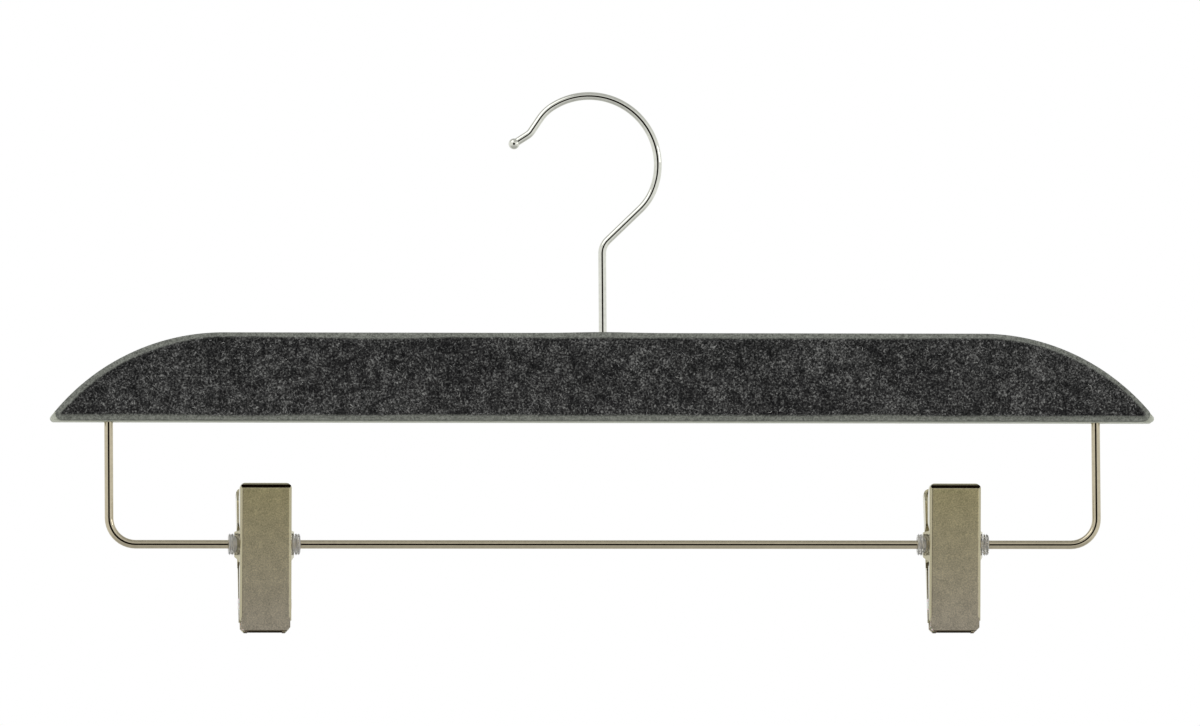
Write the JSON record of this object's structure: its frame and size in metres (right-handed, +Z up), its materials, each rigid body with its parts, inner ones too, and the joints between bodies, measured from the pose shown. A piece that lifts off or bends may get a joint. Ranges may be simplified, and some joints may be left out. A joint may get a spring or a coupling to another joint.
{
  "type": "trouser hanger",
  "caption": "Felt covered hanger board on a wire swivel hook, with a wire trouser bar below it and sprung clips that slide and swing on the bar.",
  "frame": {"origin": "on the inside surface of the hook's arc, straight above the stem, where a rail bears when the hanger hangs", "axes": "+Z up along the stem, +X along the board towards the right in the picture, the front faces -Y"},
  "size_m": [0.42, 0.0232, 0.2058],
  "materials": {
    "nickel_wire": "nickel plated steel wire, bright, drawn smooth",
    "brass_sleeve": "turned brass",
    "board_core": "pale sealed fibreboard, cut edge",
    "charcoal_felt": "pressed charcoal felt with light and dark fibres",
    "nickel_sheet": "satin nickel plated sheet steel",
    "milky_plastic": "natural milky translucent plastic, moulded",
    "spring_wire": "drawn spring steel",
    "soft_pad": "soft white vinyl, moulded with ribs"
  },
  "bodies": {
    "hook": {"hook": "nickel_wire", "hook_washer": "nickel_wire"},
    "board": {"core_board": "board_core", "front_felt": "charcoal_felt", "rear_felt": "charcoal_felt", "hook_bush": "brass_sleeve", "trouser_bar": "nickel_wire"},
    "left_carrier": {"left_outer_bush": "milky_plastic", "left_inner_bush": "milky_plastic"},
    "left_front_jaw": {"left_front_shell": "nickel_sheet", "left_front_pad": "soft_pad", "left_spring": "spring_wire"},
    "left_rear_jaw": {"left_rear_shell": "nickel_sheet", "left_rear_pad": "soft_pad"},
    "right_carrier": {"right_outer_bush": "milky_plastic", "right_inner_bush": "milky_plastic"},
    "right_front_jaw": {"right_front_shell": "nickel_sheet", "right_front_pad": "soft_pad", "right_spring": "spring_wire"},
    "right_rear_jaw": {"right_rear_shell": "nickel_sheet", "right_rear_pad": "soft_pad"}
  },
  "joints": [
    {"name": "hook_swivel", "type": "hinge", "parent": "hook", "child": "board", "pos_m": [0, 0, -0.095], "axis": [0, 0, 1], "continuous": true},
    {"name": "left_slide", "type": "slide", "parent": "board", "child": "left_carrier", "axis": [1, 0, 0], "range_m": [-0.035, 0.115]},
    {"name": "left_swing", "type": "hinge", "parent": "left_carrier", "child": "left_front_jaw", "pos_m": [-0.1293, 0, -0.1688], "axis": [1, 0, 0], "continuous": true},
    {"name": "left_squeeze", "type": "hinge", "parent": "left_front_jaw", "child": "left_rear_jaw", "pos_m": [-0.1293, 0, -0.1688], "axis": [1, 0, 0], "range_deg": [0, 22], "stiffness_Nm_per_rad": 0.2, "deforming": ["left_spring"]},
    {"name": "right_slide", "type": "slide", "parent": "board", "child": "right_carrier", "axis": [1, 0, 0], "range_m": [-0.118, 0.031]},
    {"name": "right_swing", "type": "hinge", "parent": "right_carrier", "child": "right_front_jaw", "pos_m": [0.1329, 0, -0.1688], "axis": [1, 0, 0], "continuous": true},
    {"name": "right_squeeze", "type": "hinge", "parent": "right_front_jaw", "child": "right_rear_jaw", "pos_m": [0.1329, 0, -0.1688], "axis": [1, 0, 0], "range_deg": [0, 22], "stiffness_Nm_per_rad": 0.2, "deforming": ["right_spring"]}
  ]
}
